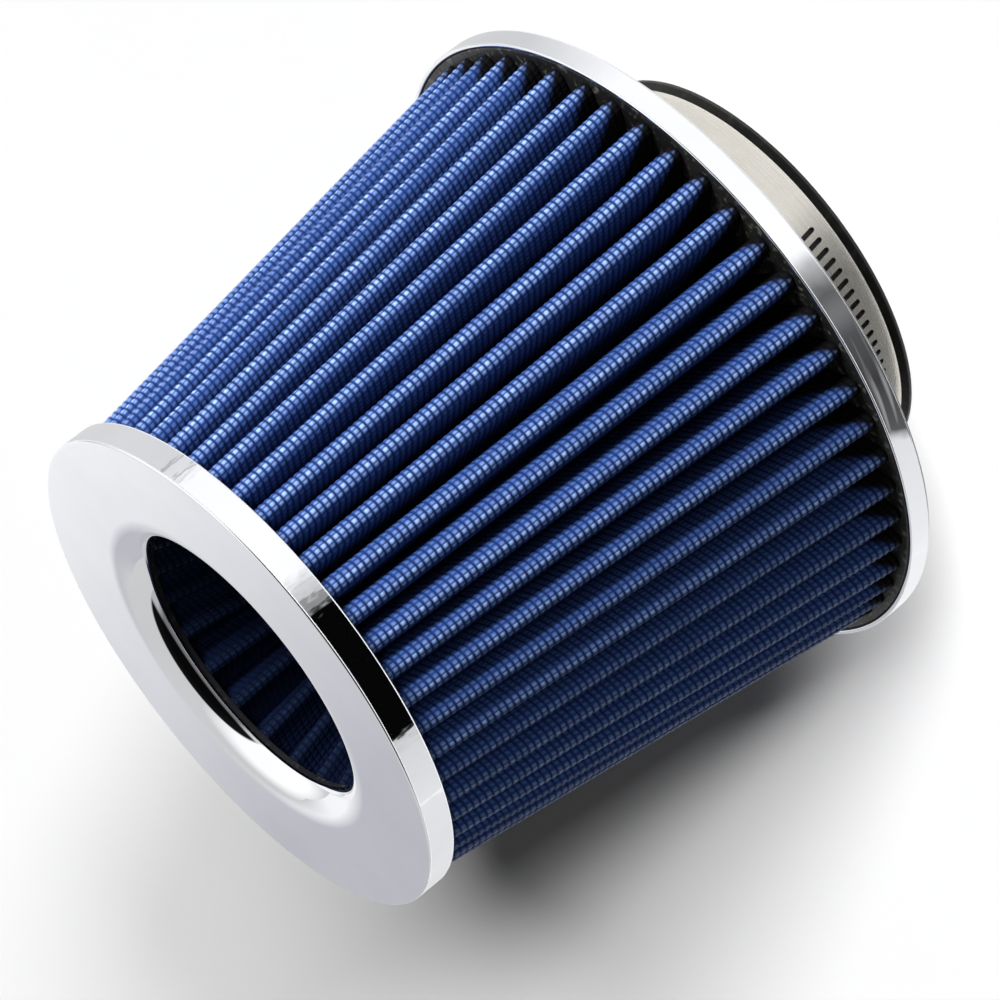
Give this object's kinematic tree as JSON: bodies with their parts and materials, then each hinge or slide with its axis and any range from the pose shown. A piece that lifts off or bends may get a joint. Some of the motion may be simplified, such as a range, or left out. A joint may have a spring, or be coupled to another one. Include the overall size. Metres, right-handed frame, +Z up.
{
  "type": "cone air filter",
  "caption": "Conical pleated air filter with a chrome cap, an inverted inner cone, a rubber neck and a worm-drive clamp.",
  "frame": {"origin": "centre of the flat end of the neck, which the filter stands on", "axes": "+Z up the filter's axis from the neck to the chrome cap; the clamp's plain band faces -Y and its head lies towards -X and +Y"},
  "size_m": [0.15, 0.15, 0.146],
  "materials": {
    "cap_chrome": "bright plated, polished",
    "ring_chrome": "bright plated, polished",
    "blue_fabric": "coarse royal blue weave",
    "inner_fabric": "coarse royal blue weave",
    "cage_steel": "galvanised expanded sheet",
    "potting": "cast polyurethane, matt",
    "pan_rubber": "cast polyurethane, matt",
    "base_rubber": "cast polyurethane, satin",
    "band_steel": "rolled stainless strip",
    "housing_steel": "pressed stainless",
    "screw_steel": "zinc plated"
  },
  "bodies": {
    "filter": {"front_cap": "cap_chrome", "front_potting": "potting", "outer_pleats": "blue_fabric", "inner_pleats": "inner_fabric", "outer_cage": "cage_steel", "inner_cage": "cage_steel", "end_pan": "pan_rubber", "base_moulding": "base_rubber", "base_ring": "ring_chrome", "clamp_band": "band_steel", "clamp_saddle": "housing_steel", "clamp_housing": "housing_steel"},
    "worm_screw": {"clamp_screw": "screw_steel"}
  },
  "joints": [
    {"name": "screw_turn", "type": "hinge", "parent": "filter", "child": "worm_screw", "pos_m": [-0.03735, 0.03735, 0.00855], "axis": [0.7071, 0.7071, 0], "continuous": true}
  ]
}
